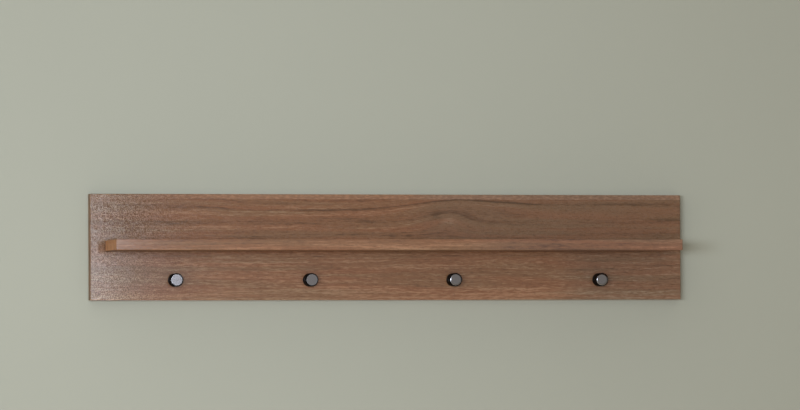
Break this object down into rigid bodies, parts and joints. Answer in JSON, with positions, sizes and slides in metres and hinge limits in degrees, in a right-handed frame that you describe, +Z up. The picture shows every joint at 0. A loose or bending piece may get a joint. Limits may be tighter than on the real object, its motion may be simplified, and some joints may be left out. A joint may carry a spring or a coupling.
{
  "type": "wall shelf with coat pegs",
  "caption": "Wall-hung shelf: a long walnut backboard with a slim ledge and a row of round dark metal pegs, on keyhole plates.",
  "frame": {"origin": "centre of the backboard's back face, on the plane of the wall", "axes": "+X to the right along the length, +Y into the wall, +Z up"},
  "size_m": [1, 0.118, 0.174],
  "materials": {
    "walnut_board": "satin lacquered walnut, grain along the length",
    "walnut_ledge": "satin lacquered walnut, grain along the length",
    "peg_metal": "satin black, with a polished face",
    "fastener_steel": "zinc plated",
    "plate_steel": "zinc plated pressed steel",
    "dowel_wood": "plain beech"
  },
  "bodies": {
    "root": {"backboard": "walnut_board", "ledge": "walnut_ledge", "peg_1": "peg_metal", "peg_2": "peg_metal", "peg_3": "peg_metal", "peg_4": "peg_metal", "peg_washer_1": "fastener_steel", "peg_screw_1": "fastener_steel", "peg_washer_2": "fastener_steel", "peg_screw_2": "fastener_steel", "peg_washer_3": "fastener_steel", "peg_screw_3": "fastener_steel", "peg_washer_4": "fastener_steel", "peg_screw_4": "fastener_steel", "ledge_dowel_1": "dowel_wood", "ledge_dowel_2": "dowel_wood", "ledge_dowel_3": "dowel_wood", "ledge_dowel_4": "dowel_wood", "ledge_dowel_5": "dowel_wood", "ledge_screw_1": "fastener_steel", "ledge_screw_2": "fastener_steel", "ledge_screw_3": "fastener_steel", "ledge_screw_4": "fastener_steel", "hanger_plate_left": "plate_steel", "hanger_screw_left_upper": "fastener_steel", "hanger_screw_left_lower": "fastener_steel", "hanger_plate_right": "plate_steel", "hanger_screw_right_upper": "fastener_steel", "hanger_screw_right_lower": "fastener_steel"}
  },
  "joints": []
}
